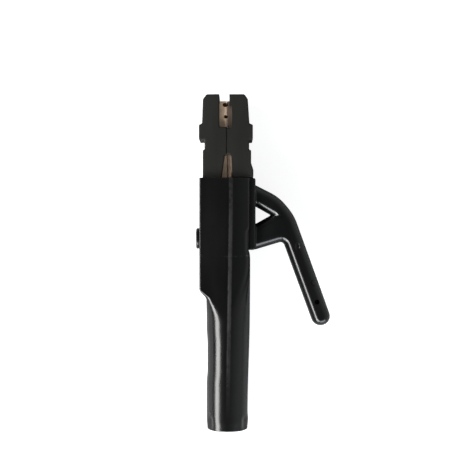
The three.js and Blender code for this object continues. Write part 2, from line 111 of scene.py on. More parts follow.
def outline(corners, inset, steps):
    """A closed outline from (x, y) or (x, y, radius) corners, moved inwards by inset.

    Corners that bulge get tighter and corners that bend in get wider, and every corner gives
    the same number of points, so that insets of one shape can be joined ring to ring."""
    count = len(corners)
    area = sum(a[0] * b[1] - b[0] * a[1] for a, b in zip(corners, corners[1:] + corners[:1]))
    way_in = math.copysign(1.0, area)
    points = []
    for i, corner in enumerate(corners):
        at = Vector(corner[:2])
        into = (at - Vector(corners[i - 1][:2])).normalized()
        out = (Vector(corners[(i + 1) % count][:2]) - at).normalized()
        side = Vector((-into.y, into.x)) * way_in
        bisector = (side + Vector((-out.y, out.x)) * way_in).normalized()
        moved = at + bisector * inset / bisector.dot(side)
        bend = into.x * out.y - into.y * out.x
        radius = corner[2] if len(corner) > 2 else 0.0
        radius = max(radius - math.copysign(inset, bend * way_in), 0.01)
        half = (-into).angle(out) / 2
        start = moved - into * radius / math.tan(half)
        centre = moved + (out - into).normalized() * radius / math.sin(half)
        turn = math.copysign(math.pi - 2 * half, bend)
        for k in range(steps + 1):
            points.append(centre + Matrix.Rotation(turn * k / steps, 2) @ (start - centre))
    return points


def new_piece(name, vertices, faces):
    """A mesh object from millimetre vertices."""
    mesh = bpy.data.meshes.new(name)
    mesh.from_pydata([Vector(v) * MM for v in vertices], [], faces)
    piece = bpy.data.objects.new(name, mesh)
    bpy.context.scene.collection.objects.link(piece)
    return piece


def tidy_mesh(piece, merge=0.01, angle=35):
    """Joins doubled points, turns faces outwards and smooths all but the sharp edges."""
    work = bmesh.new()
    work.from_mesh(piece.data)
    bmesh.ops.remove_doubles(work, verts=work.verts, dist=merge * MM)
    bmesh.ops.recalc_face_normals(work, faces=work.faces)
    work.to_mesh(piece.data)
    work.free()
    piece.data.polygons.foreach_set("use_smooth", [True] * len(piece.data.polygons))
    piece.data.set_sharp_from_angle(angle=math.radians(angle))
    piece.data.update()
    return piece


def settle(piece):
    """Applies every modifier, so that the finished shape is in the mesh."""
    depsgraph = bpy.context.evaluated_depsgraph_get()
    mesh = bpy.data.meshes.new_from_object(piece.evaluated_get(depsgraph))
    piece.modifiers.clear()
    piece.data = mesh
    return piece


def moulding(name, corners, width, across, rise=None, segments=5, steps=6):
    """A plate about the middle plane with rounded rims: across is how far the rounding
    reaches in from the outline, rise how far it reaches down the side."""
    rise = across if rise is None else rise
    half = width / 2
    levels = [(0.0, half - rise)]
    for k in range(1, segments + 1):
        angle = k / segments * math.pi / 2
        levels.append((across * (1 - math.cos(angle)), half - rise * (1 - math.sin(angle))))
    levels.append((across * 1.08 + 0.1, half))    # one more ring keeps the flat even
    levels = [(inset, -z) for inset, z in reversed(levels)] + levels
    vertices = []
    for inset, z in levels:
        vertices += [(p.x, p.y, MID + z) for p in outline(corners, inset, steps)]
    count = len(vertices) // len(levels)
    faces = [tuple(range(count)), tuple(range(len(vertices) - count, len(vertices)))]
    for j in range(len(levels) - 1):
        for i in range(count):
            following = (i + 1) % count
            low, high = j * count, (j + 1) * count
            faces.append((low + i, low + following, high + following, high + i))
    return tidy_mesh(new_piece(name, vertices, faces), merge=0.02)


def soften(piece, voxel, passes):
    """Melts joined mouldings into one even skin with small fillets where they meet."""
    skin = piece.modifiers.new("skin", "REMESH")
    skin.mode = "VOXEL"
    skin.voxel_size = voxel * MM
    skin.use_smooth_shade = True
    relax = piece.modifiers.new("relax", "SMOOTH")
    relax.factor = 0.5
    relax.iterations = passes
    settle(piece)


def turned(name, profile, centre, axis="X", sides=48):
    """A lathe piece: profile is (radius, distance along the axis) from axis to axis, and
    centre holds the axis's other two coordinates."""
    vertices = []
    faces = []
    for i in range(sides):
        angle = 2 * math.pi * i / sides
        for radius, along in profile:
            point = [centre[0] + radius * math.cos(angle), centre[1] + radius * math.sin(angle)]
            point.insert("XYZ".index(axis), along)
            vertices.append(point)
    step = len(profile)
    for i in range(sides):
        j = (i + 1) % sides
        for k in range(step - 1):
            faces.append((i * step + k, j * step + k, j * step + k + 1, i * step + k + 1))
    return tidy_mesh(new_piece(name, vertices, faces), angle=40)


def rod(axis, radius, start, end, centre, sides=40):
    """A round cutter or core along an axis."""
    return turned("cutter", [(0, start), (radius, start), (radius, end), (0, end)], centre, axis, sides)


def prism(corners, width, z=None):
    """A sharp-edged cutter or core about the middle plane, or about height z."""
    middle = MID if z is None else z
    count = len(corners)
    vertices = [(x, y, middle + side * width / 2) for side in (-1, 1) for x, y in corners]
    faces = [tuple(reversed(range(count))), tuple(range(count, 2 * count))]
    faces += [(i, (i + 1) % count, (i + 1) % count + count, i + count) for i in range(count)]
    return tidy_mesh(new_piece("cutter", vertices, faces))


def block(x0, x1, y0, y1, width, z=None):
    """A square prism."""
    return prism([(x0, y0), (x1, y0), (x1, y1), (x0, y1)], width, z)


def combine(piece, other, operation):
    """Cuts other from piece or joins it, then removes other."""
    step = piece.modifiers.new(operation.lower(), "BOOLEAN")
    step.operation = operation
    step.solver = "EXACT"
    step.object = other
    settle(piece)
    bpy.data.objects.remove(other)
    return piece


def pool(piece, *others):
    """Puts overlapping meshes into one piece as they are, to be melted together by soften."""
    work = bmesh.new()
    work.from_mesh(piece.data)
    for other in others:
        work.from_mesh(other.data)
        bpy.data.objects.remove(other)
    work.to_mesh(piece.data)
    work.free()


def cut(piece, *cutters):
    """Takes each cutter's shape out of piece."""
    for cutter in cutters:
        combine(piece, cutter, "DIFFERENCE")


def finish_piece(piece, body, material, nodes):
    """Gives a finished piece its material and its body, and hides the CAD nodes it stands for."""
    piece.data.materials.clear()
    piece.data.materials.append(material)
    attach(piece, body)
    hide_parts(*nodes)


# --- Shader groups ---------------------------------------------------------------------------


def feed(tree, socket, value):
    """Links a socket to another one, or gives it a plain value."""
    if isinstance(value, bpy.types.NodeSocket):
        tree.links.new(value, socket)
    else:
        socket.default_value = value


def node(tree, kind, inputs=(), **settings):
    """A new node: its settings, then what its inputs are fed with, by name or number."""
    made = tree.nodes.new(kind)
    for name, value in settings.items():
        setattr(made, name, value)
    for key, value in dict(inputs).items():
        feed(tree, made.inputs[key], value)
    return made


def reckon(tree, operation, *values, **settings):
    """The result of a Math node on two or three values."""
    made = node(tree, "ShaderNodeMath", enumerate(values), operation=operation, **settings)
    return made.outputs[0]


def group_tree(name, inputs, outputs, kind_of_tree="ShaderNodeTree"):
    """A node tree with named inputs and outputs."""
    tree = bpy.data.node_groups.new(name, kind_of_tree)
    for label, kind, default in inputs:
        socket = tree.interface.new_socket(label, in_out="INPUT", socket_type="NodeSocket" + kind)
        if default is not None:
            socket.default_value = default
    for label, kind in outputs:
        tree.interface.new_socket(label, in_out="OUTPUT", socket_type="NodeSocket" + kind)
    return tree, node(tree, "NodeGroupInput").outputs, node(tree, "NodeGroupOutput").inputs


def moulded_grain_group():
    """Fine spark-eroded grain of a mould, with broad soft blotches of gloss."""
    tree, given, made = group_tree(
        "moulded_grain",
        [("Vector", "Vector", None), ("Grain", "Float", 2600.0), ("Blotch", "Float", 60.0)],
        [("Height", "Float"), ("Gloss", "Float")],
    )
    fine = node(tree, "ShaderNodeTexNoise", {
        "Vector": given["Vector"], "Scale": given["Grain"], "Detail": 3.0, "Roughness": 0.6,
    })
    flow = node(tree, "ShaderNodeMapping", {"Vector": given["Vector"], "Scale": (1.0, 0.25, 1.0)})
    broad = node(tree, "ShaderNodeTexNoise", {
        "Vector": flow.outputs["Vector"], "Scale": given["Blotch"], "Detail": 4.0,
    })
    feed(tree, made["Height"], fine.outputs["Fac"])
    feed(tree, made["Gloss"], broad.outputs["Fac"])
    return tree


def edge_wear_group():
    """A mask on the outer edges, broken up by noise."""
    ragged = 0.08
    steepness = 9.0
    tree, given, made = group_tree(
        "edge_wear",
        [("Vector", "Vector", None), ("Start", "Float", 0.54), ("Break Up", "Float", 320.0)],
        [("Mask", "Float")],
    )
    form = node(tree, "ShaderNodeNewGeometry")
    noise = node(tree, "ShaderNodeTexNoise", {
        "Vector": given["Vector"], "Scale": given["Break Up"], "Detail": 5.0,
    })
    jitter = reckon(tree, "MULTIPLY_ADD", noise.outputs["Fac"], 2 * ragged, -ragged)
    edge = reckon(tree, "ADD", form.outputs["Pointiness"], jitter)
    above = reckon(tree, "SUBTRACT", edge, given["Start"])
    feed(tree, made["Mask"], reckon(tree, "MULTIPLY", above, steepness, use_clamp=True))
    return tree


def scuff_group():
    """Short thin scuffs in two directions, as a mask."""
    tree, given, made = group_tree(
        "scuffs", [("Vector", "Vector", None), ("Scale", "Float", 90.0)], [("Mask", "Float")],
    )
    masks = []
    for turn, stretch in ((0.5, (1.0, 0.06, 1.0)), (-0.9, (0.07, 1.0, 1.0))):
        place = node(tree, "ShaderNodeMapping", {
            "Vector": given["Vector"], "Rotation": (0.0, 0.0, turn), "Scale": stretch,
        })
        noise = node(tree, "ShaderNodeTexNoise", {
            "Vector": place.outputs["Vector"], "Scale": given["Scale"], "Detail": 6.0, "Roughness": 0.7,
        })
        ramp = {"Value": noise.outputs["Fac"], "From Min": 0.66, "From Max": 0.72}
        masks.append(node(tree, "ShaderNodeMapRange", ramp).outputs["Result"])
    feed(tree, made["Mask"], reckon(tree, "MAXIMUM", *masks))
    return tree


GRAIN = moulded_grain_group()
WEAR = edge_wear_group()
SCUFFS = scuff_group()


# --- Materials -------------------------------------------------------------------------------


class Finish:
    """A material under construction: an object-space vector, a shader and short helpers."""

    def __init__(self, name):
        self.material = bpy.data.materials.new(name)
        self.material.use_nodes = True
        self.tree = self.material.node_tree
        self.shader = self.tree.nodes["Principled BSDF"]
        self.vector = self.add("ShaderNodeTexCoord").outputs["Object"]

    def add(self, kind, inputs=(), **settings):
        return node(self.tree, kind, inputs, **settings)

    def group(self, tree, **values):
        inputs = {label.replace("_", " "): value for label, value in values.items()}
        made = self.add("ShaderNodeGroup", {"Vector": self.vector, **inputs}, node_tree=tree)
        return made.outputs

    def mix(self, factor, first, second):
        """Colours first and second by factor; each may be a colour or a socket."""
        pair = [(*c, 1.0) if isinstance(c, tuple) else c for c in (first, second)]
        made = self.add("ShaderNodeMix", {"Factor": factor, 6: pair[0], 7: pair[1]}, data_type="RGBA")
        return made.outputs[2]

    def spread(self, value, low, high, start=0.0, end=1.0):
        """Low where value is start, high where it is end, and even steps between."""
        return self.add("ShaderNodeMapRange", {
            "Value": value, "From Min": start, "From Max": end, "To Min": low, "To Max": high,
        }).outputs["Result"]

    def math(self, operation, *values):
        return reckon(self.tree, operation, *values)

    def bump(self, height, strength, distance, after=None):
        inputs = {"Height": height, "Strength": strength, "Distance": distance}
        if after is not None:
            inputs["Normal"] = after
        return self.add("ShaderNodeBump", inputs).outputs["Normal"]

    def noise(self, scale, detail=4.0, stretch=None):
        vector = self.vector
        if stretch:
            vector = self.add("ShaderNodeMapping", {"Vector": vector, "Scale": stretch}).outputs["Vector"]
        made = self.add("ShaderNodeTexNoise", {"Vector": vector, "Scale": scale, "Detail": detail})
        return made.outputs["Fac"]

    def height(self):
        """How far up the holder a point is, in metres."""
        return self.add("ShaderNodeSeparateXYZ", {"Vector": self.vector}).outputs["Y"]

    def shaded(self, inputs):
        """Feeds the shader and gives the finished material."""
        for label, value in inputs.items():
            feed(self.tree, self.shader.inputs[label], value)
        return self.material


BEAD_X = -5.0
BEAD_SLOPE = 0.0155
# painted sheen: the paler grey laid along the housing's parting bead
BEAD_SHEEN_GREY = (0.021, 0.021, 0.02)
WORN_STEEL = (0.75, 0.75, 0.76)


def plastic(name, dark, light, worn, rough, grain, grain_depth, wear_start, specular=0.5, bead=False):
    """Moulded plastic: fine grain, blotchy gloss, scuffs, paler worn edges and a painted sheen along the
    parting bead.
    rough is the lowest and highest roughness."""
    f = Finish(name)
    texture = f.group(GRAIN, Grain=grain, Blotch=45.0)
    wear = f.group(WEAR, Start=wear_start, Break_Up=420.0)["Mask"]
    scuffs = f.group(SCUFFS, Scale=85.0)["Mask"]
    tone = f.mix(f.spread(texture["Gloss"], 0, 1, 0.35, 0.65), dark, light)
    scuffed = f.mix(f.spread(scuffs, 0, 0.35), tone, worn)
    colour = f.mix(f.spread(wear, 0, 0.7), scuffed, worn)
    rough = f.spread(texture["Gloss"], *rough, 0.3, 0.7)
    if bead:
        # painted sheen: the parting bead's band is painted paler and made rougher
        rubbed = bead_sheen_mask(f)
        colour = f.mix(rubbed, colour, BEAD_SHEEN_GREY)
        rough = f.math("ADD", rough, f.spread(rubbed, 0, 0.25))
    rough = f.math("ADD", rough, f.spread(scuffs, 0, 0.14))
    rough = f.math("ADD", rough, f.spread(wear, 0, 0.1))
    fine = f.bump(texture["Height"], grain_depth, 0.00008)
    wave = f.bump(f.noise(120.0, 2.0), 0.12, 0.0004, fine)
    return f.shaded({
        "Base Color": colour, "Roughness": rough, "Normal": wave, "Specular IOR Level": specular,
    })


def bead_sheen_mask(f):
    """A narrow band along the housing's parting bead that fades down the grip: the ridge's sheen painted in a
    paler grey, with its roughness raised.
    """
    place = f.add("ShaderNodeSeparateXYZ", {"Vector": f.vector}).outputs
    lean = f.math("MULTIPLY", f.math("MINIMUM", place["Y"], 0.0), BEAD_SLOPE)
    across = f.math("SUBTRACT", f.math("SUBTRACT", place["X"], BEAD_X * MM), lean)
    near = f.spread(f.math("ABSOLUTE", across), 1.0, 0.0, 0.9 * MM, 1.7 * MM)
    fade = f.spread(place["Y"], 0.0, 0.85, -152 * MM, -82 * MM)
    fade = f.math("MULTIPLY", fade, f.spread(place["Y"], 1.0, 0.62, -22 * MM, 12 * MM))
    broken = f.spread(f.noise(300.0, 4.0), 0.55, 1.0, 0.35, 0.6)
    return f.math("MULTIPLY", f.math("MULTIPLY", near, fade), broken)


def copper_alloy(name, bright, tarnished, rubbed, tip_shade=None):
    """Cast copper alloy: sandy cast skin, brown tarnish, brighter where it rubs; tip_shade is a painted shade
    that darkens a jaw towards its tip."""
    f = Finish(name)
    wear = f.group(WEAR, Start=0.52, Break_Up=300.0)["Mask"]
    tarnish = f.spread(f.noise(140.0, 6.0), 0, 1, 0.42, 0.62)
    colour = f.mix(wear, f.mix(tarnish, bright, tarnished), rubbed)
    # painted shade: the colour darkens towards the jaw's tip
    if tip_shade:
        colour = f.mix(f.spread(f.height(), 0.0, 0.92, 38 * MM, 58 * MM), colour, tip_shade)
    return f.shaded({
        "Base Color": colour,
        "Roughness": f.spread(tarnish, 0.34, 0.6),
        "Metallic": f.spread(tarnish, 0.3, 0.12),
        "Normal": f.bump(f.noise(1500.0, 5.0), 0.35, 0.00012),
    })


def steel(name, light, dark, rough):
    """Turned or plated steel: fine turning lines, spots of dulling."""
    f = Finish(name)
    wear = f.group(WEAR, Start=0.53, Break_Up=500.0)["Mask"]
    spots = f.spread(f.noise(260.0, 6.0), 0, 1, 0.45, 0.65)
    return f.shaded({
        "Base Color": f.mix(wear, f.mix(spots, light, dark), WORN_STEEL),
        "Roughness": f.spread(spots, rough, rough + 0.2),
        "Metallic": 1.0,
        "Normal": f.bump(f.noise(2200.0, 2.0, (0.1, 0.1, 1.0)), 0.2, 0.00004),
    })


def floor_paint():
    """Plain painted floor, faintly mottled. Its glow lifts it to white and hides the shadow on
    it, but shows only where the floor is looked at directly; the holder mirrors the paint."""
    f = Finish("pale_floor")
    seen = f.add("ShaderNodeLightPath").outputs["Is Camera Ray"]
    return f.shaded({
        "Base Color": f.mix(f.noise(6.0), (0.35, 0.35, 0.35), (0.38, 0.38, 0.38)),
        "Emission Color": f.mix(seen, (0.0, 0.0, 0.0), (1.0, 1.0, 1.0)),
        "Emission Strength": FLOOR_GLOW,
        "Roughness": 0.95,
        "Specular IOR Level": 0.1,
    })


HOUSING_BLACK = plastic(
    "housing_black_plastic", (0.0018, 0.0019, 0.0018), (0.0034, 0.0035, 0.0033), (0.022, 0.022, 0.021),
    rough=(0.16, 0.26), grain=2400.0, grain_depth=0.25, wear_start=0.6, bead=True,
)
LEVER_BLACK = plastic(
    "lever_black_plastic", (0.0018, 0.0019, 0.002), (0.0034, 0.0036, 0.0037), (0.022, 0.022, 0.022),
    rough=(0.16, 0.25), grain=2400.0, grain_depth=0.22, wear_start=0.6,
)
INSULATOR_GREY = plastic(
    "insulator_matt_moulding", (0.0078, 0.0075, 0.0062), (0.0108, 0.0105, 0.0086), (0.035, 0.034, 0.03),
    rough=(0.52, 0.68), grain=1500.0, grain_depth=0.8, wear_start=0.57, specular=0.2,
)
COPPER = copper_alloy("cast_copper_alloy", (0.86, 0.63, 0.44), (0.62, 0.44, 0.3), (0.88, 0.66, 0.48))
# Painted shade: the moving jaw's copper is a darker copy of the fixed jaw's, and darker still towards its
# tip.
SHADED_COPPER = copper_alloy(
    "shaded_copper_alloy", (0.42, 0.3, 0.22), (0.26, 0.18, 0.13), (0.48, 0.35, 0.26),
    tip_shade=(0.055, 0.04, 0.03),
)
ZINC_STEEL = steel("zinc_plated_steel", (0.58, 0.59, 0.6), (0.4, 0.4, 0.4), 0.25)
BLACK_STEEL = steel("blackened_steel", (0.06, 0.06, 0.063), (0.03, 0.028, 0.026), 0.35)


# --- Camera, light and floor -----------------------------------------------------------------


CAMERA_X = -2.1
CAMERA_Y = -19.8
CAMERA_HEIGHT = 650.0    # over the middle plane
VIEW_WIDTH = 337.5       # of the middle plane, as the camera sees it
SENSOR_WIDTH = 36.0
FLOOR_HALF = 15000.0
FLOOR_Z = -0.8
FLOOR_GLOW = 0.86

AIM = Vector((0.0, -0.04, 0.016))    # metres
SOFTBOXES = (    # name, place and size (width, height) in metres, watts, colour
    ("strip_left", (-0.95, -0.2, 0.61), (1.7, 0.44), 33.0, (1.0, 0.995, 0.98)),
    ("strip_near", (-0.5, -0.95, 0.5), (0.7, 0.6), 15.0, (0.95, 0.98, 1.0)),
    ("strip_low", (0.42, -1.05, 0.42), (1.0, 0.6), 11.0, (0.9, 0.95, 1.0)),
)


def camera_above():
    """The holder seen square to its side, from a little over half a metre."""
    data = bpy.data.cameras.new("camera")
    data.sensor_width = SENSOR_WIDTH
    data.lens = SENSOR_WIDTH * CAMERA_HEIGHT / VIEW_WIDTH
    data.clip_start = 0.01
    data.clip_end = 60.0
    camera = bpy.data.objects.new("camera", data)
    camera.location = Vector((CAMERA_X, CAMERA_Y, MID + CAMERA_HEIGHT)) * MM
    bpy.context.scene.collection.objects.link(camera)
    bpy.context.scene.camera = camera


def soft_light(name, place, size, power, colour):
    """A softbox aimed at the holder's middle."""
    data = bpy.data.lights.new(name, "AREA")
    data.shape = "RECTANGLE"
    data.size, data.size_y = size
    data.energy = power
    data.color = colour
    light = bpy.data.objects.new(name, data)
    light.location = place
    light.rotation_euler = (AIM - Vector(place)).to_track_quat("-Z", "Y").to_euler()
    bpy.context.scene.collection.objects.link(light)


def studio_world():
    """Soft surroundings: darkest above and to the left, paler low on the right, and plain
    white where they are looked at directly."""
    world = bpy.data.worlds.new("studio")
    world.use_nodes = True
    tree = world.node_tree
    way = node(tree, "ShaderNodeTexCoord").outputs["Object"]
    lean = node(tree, "ShaderNodeVectorMath", {0: way, 1: (0.72, 0.1, -0.68)}, operation="DOT_PRODUCT")
    shade = node(tree, "ShaderNodeMapRange", {
        "Value": lean.outputs["Value"],
        "From Min": -0.75, "From Max": 0.35, "To Min": 0.05, "To Max": 0.55,
    }).outputs["Result"]
    seen = node(tree, "ShaderNodeLightPath").outputs["Is Camera Ray"]
    background = tree.nodes["Background"].inputs
    feed(tree, background["Strength"], reckon(tree, "MAXIMUM", shade, seen))
    feed(tree, background["Color"], (0.96, 0.98, 1.0, 1.0))
    bpy.context.scene.world = world


def studio():
    """Softboxes, surroundings and a wide plain floor just under the holder."""
    for softbox in SOFTBOXES:
        soft_light(*softbox)
    studio_world()
    sides = ((-1, -1), (1, -1), (1, 1), (-1, 1))
    corners = [(x * FLOOR_HALF, y * FLOOR_HALF, FLOOR_Z) for x, y in sides]
    floor = new_piece("floor", corners, [(0, 1, 2, 3)])
    floor.data.materials.append(floor_paint())
    bpy.context.scene.view_settings.view_transform = "Standard"


# --- Housing ---------------------------------------------------------------------------------

SHOULDER_TOP = -57.5
SHOULDER_END = -65.5
SLOT_HALF = 13.2
SLOT_ROUND_Y = -28.0
SLOT_END_Y = -35.0
SLOT_ROUND = 0.3         # the outside keeps back this far from the slot's edge
AROUND = 272             # points round a section
OUTER_STEP = 1.7         # between sections
INNER_STEP = 4.0
FINE_STEP = 0.5
RIM_ROUND = 0.8
MOUTH_ROUND = 0.7
FOOT_RECESS = 0.4        # beside the lever's foot
BELLY = 0.5              # the fuller side below it
TAPER = 1.6              # of the grip's lever side, towards its end
BELL = 0.35              # the slight flare at that end
GRIP_LEFT_R = GRIP_R + 0.6
BORE_R = 12.0
WALL = 2.0
BEAD_HEIGHT = 0.2
ROOF_LEFT = 0.0012       # how fast the broad sides fall away from the bead
ROOF_RIGHT = 0.009
ROOF_MOST = 1.55
DENT_Y = -153.2
DENT_ASIDE = 12.3
DENT_DEPTH = 1.1
DENT_WIDE = 1.6
DENT_LONG = 4.6


def housing_right(y):
    """The lever side: a recess for the lever's foot, then a slight taper of the grip."""
    recess = smooth(y, -13, -17) - smooth(y, -30.2, -33)
    bell = BELL * smooth(y, -146, -151)
    belly = BELLY * smooth(y, -30, -37)
    return RIGHT_X + belly - FOOT_RECESS * recess - TAPER * smooth(y, -72, -145) + bell


def outer_section(y, inset=0.0):
    """Left, right, half depth and corner radii (left, right) of the outside at y."""
    to_round = smooth(y, -56, -84)
    left = LEFT_X + (GRIP_X - GRIP_LEFT_R - LEFT_X) * smooth(y, SHOULDER_TOP, SHOULDER_END)
    waist = 0.6 * smooth(y, -86, -98) * (1 - smooth(y, -116, -126))
    right = housing_right(y)
    half = DEPTH / 2 - (DEPTH / 2 - GRIP_R) * smooth(y, -44, -80) - 0.4 * smooth(y, -95, -145)
    rim_step = 0.4 * smooth(y, -151.5, -157.5)
    left += inset + waist + rim_step
    right -= inset + rim_step
    half -= inset + rim_step
    most = min(half, (right - left) / 2) - 0.02
    left_radius = min(0.8 + (GRIP_R - 0.8) * to_round, most)
    right_radius = min(1.2 + 2.3 * smooth(y, -13, -19) + 11 * smooth(y, -38, -80), most)
    return left, right, half, max(left_radius - inset, 0.5), max(right_radius - inset, 0.5)


def inner_section(y):
    """The same for the hollow inside: square above, round in the grip."""
    to_round = smooth(y, -55, -64)
    left = LEFT_X + WALL + (GRIP_X - BORE_R - LEFT_X - WALL) * to_round
    right = housing_right(y) - 2.2 - (1.1 - 1.1 * smooth(y, -95, -145)) * to_round
    half = SLOT_HALF - (SLOT_HALF - BORE_R) * to_round
    most = min(half, (right - left) / 2) - 0.02
    radius = min(1.2 + 11 * to_round, most)
    return left, right, half, radius, radius


def section_points(section, opening):
    """Points round a section, from the lever side's middle upwards and round, by even steps.

    opening is the half width left open on the lever side."""
    left, right, half, left_radius, right_radius = section
    flat = half - right_radius
    skip = opening
    if opening > flat:
        skip = flat + right_radius * math.asin(min((opening - flat) / right_radius, 1.0))
    quarter = math.pi / 2
    top = right - right_radius - left - left_radius
    side = half - left_radius
    lengths = [flat, right_radius * quarter, top, left_radius * quarter, side]
    half_way = sum(lengths)
    points = []
    for k in range(AROUND):
        along = skip + (2 * half_way - 2 * skip) * k / (AROUND - 1)
        sign = 1.0
        if along > half_way:
            along = 2 * half_way - along
            sign = -1.0
        x, z = walk(along, lengths, left, right, half, left_radius, right_radius)
        points.append((x, sign * z))
    return points


def walk(along, lengths, left, right, half, left_radius, right_radius):
    """The point (x, height over the middle plane) a distance along the upper half of a section."""
    flat, right_arc, top, left_arc, _ = lengths
    if along <= flat:
        return right, along
    along -= flat
    if along <= right_arc:
        angle = along / right_radius
        return right - right_radius * (1 - math.cos(angle)), flat + right_radius * math.sin(angle)
    along -= right_arc
    if along <= top:
        return right - right_radius - along, half
    along -= top
    if along <= left_arc:
        angle = along / left_radius
        x = left + left_radius * (1 - math.sin(angle))
        return x, half - left_radius * (1 - math.cos(angle))
    along -= left_arc
    return left, half - left_radius - along


def slot_half(y):
    """Half width of the slot on the lever side, which ends in a square round."""
    if y >= SLOT_ROUND_Y:
        return SLOT_HALF
    t = min((SLOT_ROUND_Y - y) / (SLOT_ROUND_Y - SLOT_END_Y), 1.0)
    return SLOT_HALF * (1 - t ** 4) ** 0.25


def parting_x(y):
    """The moulding's parting bead wanders slightly towards the grip's centre line."""
    return BEAD_X + BEAD_SLOPE * min(y, 0.0)


def surface_detail(x, y, z):
    """Roofs the two broad sides, adds the parting bead and the two dents at the grip's end."""
    from_bead = x - parting_x(y)
    strength = smooth(abs(z), 8, 13)
    width = 1.25 - 0.35 * smooth(y, -20, -40)
    bead = BEAD_HEIGHT * math.exp(-((from_bead / width) ** 2)) * (1 - smooth(y, -100, -134))
    curve = ROOF_RIGHT if from_bead > 0 else ROOF_LEFT
    clear_of_slot = smooth(abs(z), 13.4, 15.4)
    roof = min(curve * from_bead ** 2, ROOF_MOST) * (1 - smooth(y, -50, -80)) * clear_of_slot
    height = abs(z) + strength * bead - roof
    dent = 0.0
    for side in (-1, 1):
        across = (x - (GRIP_X - 0.6) - side * DENT_ASIDE) / DENT_WIDE
        along = (y - DENT_Y) / DENT_LONG
        dent += DENT_DEPTH * math.exp(-(across ** 2 + along ** 4)) * smooth(abs(z), 3, 6)
    shrink = 1 - dent / GRIP_R
    return GRIP_X + (x - GRIP_X) * shrink, math.copysign(max(height, 0.0), z) * shrink


def stations(top, bottom, step, fine):
    """Heights from top to bottom, closer together in the bands listed in fine."""
    result = []
    y = top
    while y > bottom:
        result.append(y)
        close = any(low < y < high for low, high in fine)
        y -= FINE_STEP if close else step
    result.append(bottom)
    return result


def quarter_round(radius):
    """Steps round a quarter circle, as (distance in from the side, distance from the end)."""
    parts = 4
    angles = [k / parts * math.pi / 2 for k in range(parts + 1)]
    return [(radius * (1 - math.cos(angle)), radius * (1 - math.sin(angle))) for angle in angles]


def housing():
    """One closed skin: outside, rounded mouth and rear rim, inside, and the lips of the slot."""
    slot_band = (SLOT_END_Y - 3, SLOT_ROUND_Y + 1)
    outer_bands = (slot_band, (-20, -12), (-70, -56), (GRIP_END_Y, -145))
    rings = []
    for inset, from_end in reversed(quarter_round(RIM_ROUND)):
        y = GRIP_END_Y + from_end
        rings.append((y, outer_section(y, inset), True))
    rim_y = GRIP_END_Y + RIM_ROUND + 0.3
    for y in reversed(stations(MOUTH_Y - MOUTH_ROUND, rim_y, OUTER_STEP, outer_bands)):
        rings.append((y, outer_section(y), True))
    for inset, from_end in quarter_round(MOUTH_ROUND)[1:]:
        y = MOUTH_Y - from_end
        rings.append((y, outer_section(y, inset), True))
    rings.append((MOUTH_Y - 0.4, inner_section(MOUTH_Y), False))
    for y in stations(MOUTH_Y - 1.2, GRIP_END_Y + 0.5, INNER_STEP, (slot_band,)):
        rings.append((y, inner_section(y), False))
    rings = with_slot_end(rings, SLOT_END_Y)
    vertices = []
    for y, section, is_outside in rings:
        opening = slot_half(y)
        if opening > 0 and is_outside:
            opening += SLOT_ROUND
        for x, z in section_points(section, opening):
            if is_outside:
                x, z = surface_detail(x, y, z)
            vertices.append((x, y, MID + z))
    faces = []
    count = len(rings)
    for j in range(count):
        low, high = j * AROUND, (j + 1) % count * AROUND
        faces += [(low + i, low + i + 1, high + i + 1, high + i) for i in range(AROUND - 1)]
    add_lips(vertices, faces, rings)
    piece = new_piece("housing_shell", vertices, faces)
    tidy_mesh(piece, merge=0.004, angle=42)
    cut(piece, rod("X", BOLT_HOLE_R, LEFT_X - 2, LEFT_X + 4, (SPRING_Y, MID), 48))
    finish_piece(piece, "body", HOUSING_BLACK, ["housing"])


def with_slot_end(rings, end_y):
    """Puts a ring exactly at the slot's end on the outside and on the inside."""
    result = []
    for k, ring in enumerate(rings):
        if k > 0:
            before = rings[k - 1]
            same_side = before[2] == ring[2]
            if same_side and (before[0] - end_y) * (ring[0] - end_y) < 0:
                make = outer_section if ring[2] else inner_section
                result.append((end_y, make(end_y), ring[2]))
        result.append(ring)
    return result


def add_lips(vertices, faces, rings):
    """Closes the slot's two long edges between the outside and the inside."""
    beside = [(y, k, out) for k, (y, _, out) in enumerate(rings) if y >= SLOT_END_Y]
    for column in (0, AROUND - 1):
        outer_run = [k * AROUND + column for y, k, out in beside if out]
        inner_run = [k * AROUND + column for y, k, out in sorted(beside) if not out]
        bridge(faces, vertices, outer_run, inner_run, column == 0)


def bridge(faces, vertices, outer_run, inner_run, flip):
    """Triangles between two runs of points that both go up in Y."""
    i = j = 0
    while i < len(outer_run) - 1 or j < len(inner_run) - 1:
        ahead_outer = vertices[outer_run[min(i + 1, len(outer_run) - 1)]][1]
        ahead_inner = vertices[inner_run[min(j + 1, len(inner_run) - 1)]][1]
        move_outer = j == len(inner_run) - 1 or (i < len(outer_run) - 1 and ahead_outer <= ahead_inner)
        if move_outer:
            face = (outer_run[i], outer_run[i + 1], inner_run[j])
            i += 1
        else:
            face = (outer_run[i], inner_run[j + 1], inner_run[j])
            j += 1
        faces.append(face[::-1] if flip else face)


# --- Insulators, lever, cap ------------------------------------------------------------------


def screw_recess(y, head_from, head_to, shank_from, shank_to):
    """A stepped hole along X for a screw's head and shank."""
    head = rod("X", SCREW_HEAD_HOLE_R, head_from, head_to, (y, MID), 48)
    shank = rod("X", SCREW_HOLE_R, shank_from, shank_to, (y, MID), 48)
    return combine(head, shank, "UNION")


